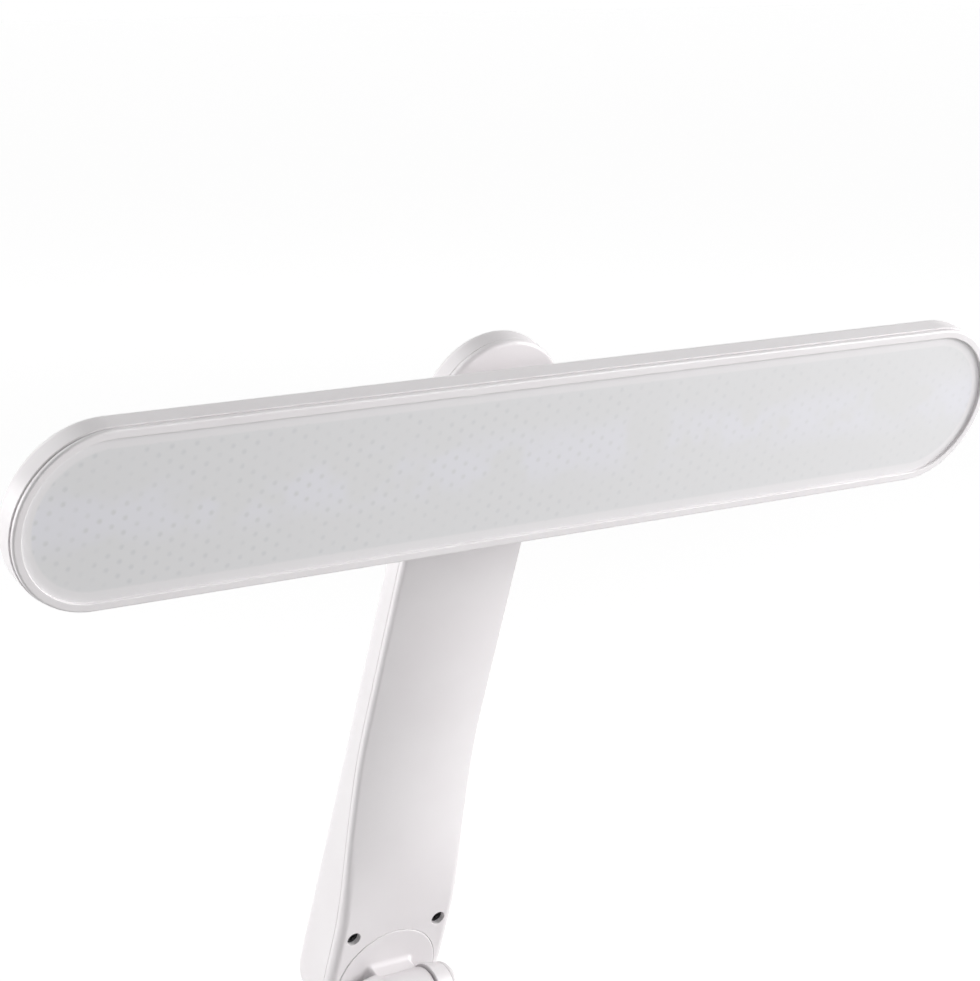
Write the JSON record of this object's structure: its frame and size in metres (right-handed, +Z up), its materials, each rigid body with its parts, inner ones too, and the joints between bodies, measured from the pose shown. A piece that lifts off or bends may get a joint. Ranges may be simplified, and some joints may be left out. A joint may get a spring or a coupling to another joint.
{
  "type": "folding desk lamp",
  "caption": "Folding desk lamp: a long flat light head with round ends on a leaning arm that turns and tilts on a knuckle at each end, over a weighted oval base with push buttons.",
  "frame": {"origin": "centre of the base pad's underside, on the desk", "axes": "+Z up, the lamp's front towards -Y, the head's length along X"},
  "size_m": [0.3894, 0.18, 0.3128],
  "materials": {
    "white_plastic": "satin white moulded plastic",
    "diffuser_plastic": "frosted, with a fine lattice",
    "clear_plastic": "clear acrylic",
    "reflector_white": "bright white film",
    "circuit_board": "solder mask",
    "chip_yellow": "phosphor",
    "steel": "zinc plated",
    "dark_steel": "blackened",
    "ballast_steel": "plain sheet",
    "wire_jacket": "soft white jacket",
    "rubber_pad": "matt anti-slip",
    "button_plastic": "fine matt"
  },
  "bodies": {
    "base": {"base_top": "white_plastic", "base_bottom": "white_plastic", "base_screws": "steel", "ballast_plate": "ballast_steel", "hinge_yoke": "white_plastic", "yoke_screws": "steel", "base_pin": "steel", "base_pin_caps": "white_plastic", "base_washers": "steel", "control_board": "circuit_board", "button_switches": "dark_steel", "inlet_board": "circuit_board", "power_socket": "steel", "base_pad": "rubber_pad"},
    "lower_knuckle": {"lower_turntable": "white_plastic", "lower_spring_washer": "steel", "lower_retainer": "steel", "lower_retainer_screws": "steel"},
    "arm": {"arm_front_cover": "white_plastic", "arm_back_shell": "white_plastic", "arm_screws": "dark_steel", "arm_wire": "wire_jacket"},
    "upper_knuckle": {"upper_turntable": "white_plastic", "upper_spring_washer": "steel", "upper_retainer": "steel", "upper_retainer_screws": "steel"},
    "head": {"head_housing": "white_plastic", "head_bezel": "white_plastic", "diffuser": "diffuser_plastic", "light_guide": "clear_plastic", "reflector_sheet": "reflector_white", "light_strips": "circuit_board", "light_chips": "chip_yellow", "head_bracket": "white_plastic", "head_bracket_screws": "steel", "head_pin": "steel", "head_pin_caps": "white_plastic", "head_washers": "steel"},
    "power_button": {"power_button": "button_plastic"},
    "tone_button": {"tone_button": "button_plastic"}
  },
  "joints": [
    {"name": "arm_tilt", "type": "hinge", "parent": "base", "child": "lower_knuckle", "pos_m": [0, 0.045, 0.06], "axis": [1, 0, 0], "range_deg": [-25, 69.7]},
    {"name": "arm_swivel", "type": "hinge", "parent": "lower_knuckle", "child": "arm", "pos_m": [0, 0.045, 0.06], "axis": [0, -0.9379, -0.3469], "range_deg": [-45, 45]},
    {"name": "head_swivel", "type": "hinge", "parent": "arm", "child": "upper_knuckle", "pos_m": [0, -0.03573, 0.27825], "axis": [0, -0.9379, -0.3469], "range_deg": [-90, 90]},
    {"name": "head_tilt", "type": "hinge", "parent": "upper_knuckle", "child": "head", "pos_m": [0, -0.02598, 0.28186], "axis": [1, 0, 0], "range_deg": [-33, 40]},
    {"name": "power_button_press", "type": "slide", "parent": "base", "child": "power_button", "axis": [0, 0, -1], "range_m": [0, 0.0008], "stiffness_N_per_m": 300, "springref_m": -0.0008},
    {"name": "tone_button_press", "type": "slide", "parent": "base", "child": "tone_button", "axis": [0, 0, -1], "range_m": [0, 0.0008], "stiffness_N_per_m": 300, "springref_m": -0.0008}
  ]
}
